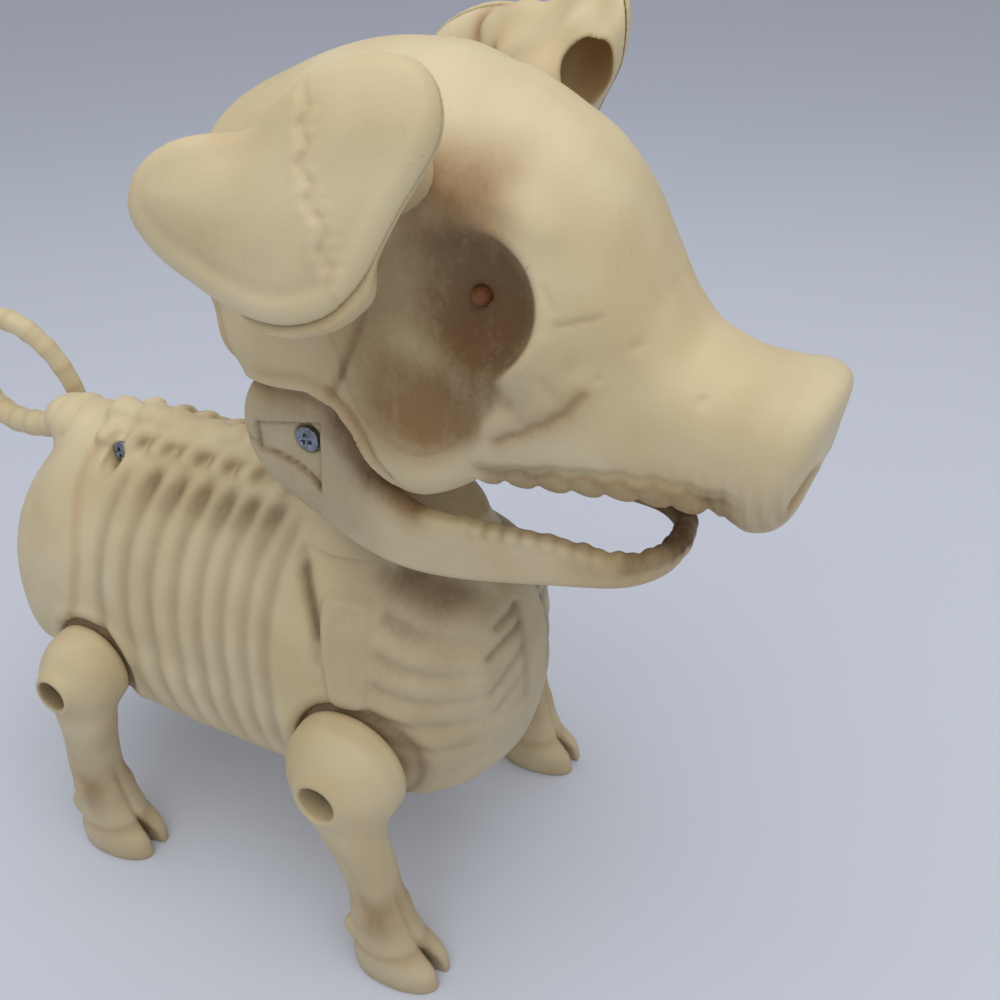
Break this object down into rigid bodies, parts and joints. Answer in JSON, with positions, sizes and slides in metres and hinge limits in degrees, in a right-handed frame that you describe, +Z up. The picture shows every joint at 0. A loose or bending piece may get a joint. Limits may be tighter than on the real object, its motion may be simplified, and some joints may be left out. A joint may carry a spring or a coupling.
{
  "type": "poseable pig skeleton figure",
  "caption": "Standing pig skeleton figure in cream moulded plastic with a turning head, hinged jaw, swivelling ears, swinging legs and light-up eyes.",
  "frame": {"origin": "on the floor, under the middle of the figure's length and width", "axes": "+Z up, +X to the pig's left, +Y towards its tail, so it faces -Y"},
  "size_m": [0.1175, 0.2492, 0.2286],
  "materials": {
    "bone_plastic": "satin cream plastic with brown stain rubbed into the hollows",
    "screw_steel": "plain plated steel",
    "led_lens": "clear dark red lens",
    "black_plastic": "moulded black",
    "cell_can": "plain dark sleeve on a steel can",
    "red_insulation": "soft wire insulation",
    "black_insulation": "soft wire insulation"
  },
  "bodies": {
    "torso": {"body_right_shell": "bone_plastic", "body_left_shell": "bone_plastic", "body_screw_rear": "screw_steel", "body_screw_haunch": "screw_steel", "body_screw_chest": "screw_steel", "neck_post": "bone_plastic", "neck_clip": "screw_steel", "tail": "bone_plastic", "leg_screw_front_right": "screw_steel", "leg_screw_front_left": "screw_steel", "leg_screw_rear_right": "screw_steel", "leg_screw_rear_left": "screw_steel", "leg_washer_front_right": "screw_steel", "leg_washer_front_left": "screw_steel", "leg_washer_rear_right": "screw_steel", "leg_washer_rear_left": "screw_steel", "battery_tray": "black_plastic", "battery_cover": "bone_plastic", "battery_cover_screw": "screw_steel", "battery_cell_right": "cell_can", "battery_cell_left": "cell_can", "switch_body": "black_plastic", "battery_lead": "red_insulation"},
    "head": {"skull_right_shell": "bone_plastic", "skull_left_shell": "bone_plastic", "skull_base": "bone_plastic", "jaw_screw_right": "screw_steel", "jaw_screw_left": "screw_steel", "eye_led_right": "led_lens", "eye_led_left": "led_lens", "eye_lead_right": "red_insulation", "eye_lead_left": "black_insulation"},
    "jaw": {"jaw": "bone_plastic"},
    "ear_right": {"ear_right_outer": "bone_plastic", "ear_right_inner": "bone_plastic"},
    "ear_left": {"ear_left_outer": "bone_plastic", "ear_left_inner": "bone_plastic"},
    "leg_front_right": {"leg_front_right": "bone_plastic"},
    "leg_front_left": {"leg_front_left": "bone_plastic"},
    "leg_rear_right": {"leg_rear_right": "bone_plastic"},
    "leg_rear_left": {"leg_rear_left": "bone_plastic"},
    "switch_knob": {"switch_knob": "black_plastic"}
  },
  "joints": [
    {"name": "head_turn", "type": "hinge", "parent": "torso", "child": "head", "pos_m": [0, -0.01929, 0.12], "axis": [0, 0, 1], "range_deg": [-35, 35]},
    {"name": "jaw_hinge", "type": "hinge", "parent": "head", "child": "jaw", "pos_m": [0, -0.01929, 0.1434], "axis": [1, 0, 0], "range_deg": [-6, 12]},
    {"name": "ear_right_swivel", "type": "hinge", "parent": "head", "child": "ear_right", "pos_m": [-0.0247, -0.04729, 0.203], "axis": [-0.9111, -0.2002, 0.3604], "range_deg": [-15, 15]},
    {"name": "ear_left_swivel", "type": "hinge", "parent": "head", "child": "ear_left", "pos_m": [0.0247, -0.04729, 0.203], "axis": [0.9111, -0.2002, 0.3604], "range_deg": [-15, 15]},
    {"name": "leg_front_right_swing", "type": "hinge", "parent": "torso", "child": "leg_front_right", "pos_m": [-0.036, -0.02969, 0.062], "axis": [1, 0, 0], "range_deg": [-60, 60]},
    {"name": "leg_front_left_swing", "type": "hinge", "parent": "torso", "child": "leg_front_left", "pos_m": [0.036, -0.02969, 0.062], "axis": [1, 0, 0], "range_deg": [-60, 60]},
    {"name": "leg_rear_right_swing", "type": "hinge", "parent": "torso", "child": "leg_rear_right", "pos_m": [-0.036, 0.05321, 0.0625], "axis": [1, 0, 0], "range_deg": [-60, 60]},
    {"name": "leg_rear_left_swing", "type": "hinge", "parent": "torso", "child": "leg_rear_left", "pos_m": [0.036, 0.05321, 0.0625], "axis": [1, 0, 0], "range_deg": [-60, 60]},
    {"name": "switch_slide", "type": "slide", "parent": "torso", "child": "switch_knob", "axis": [0, 1, 0], "range_m": [0, 0.0035]}
  ]
}
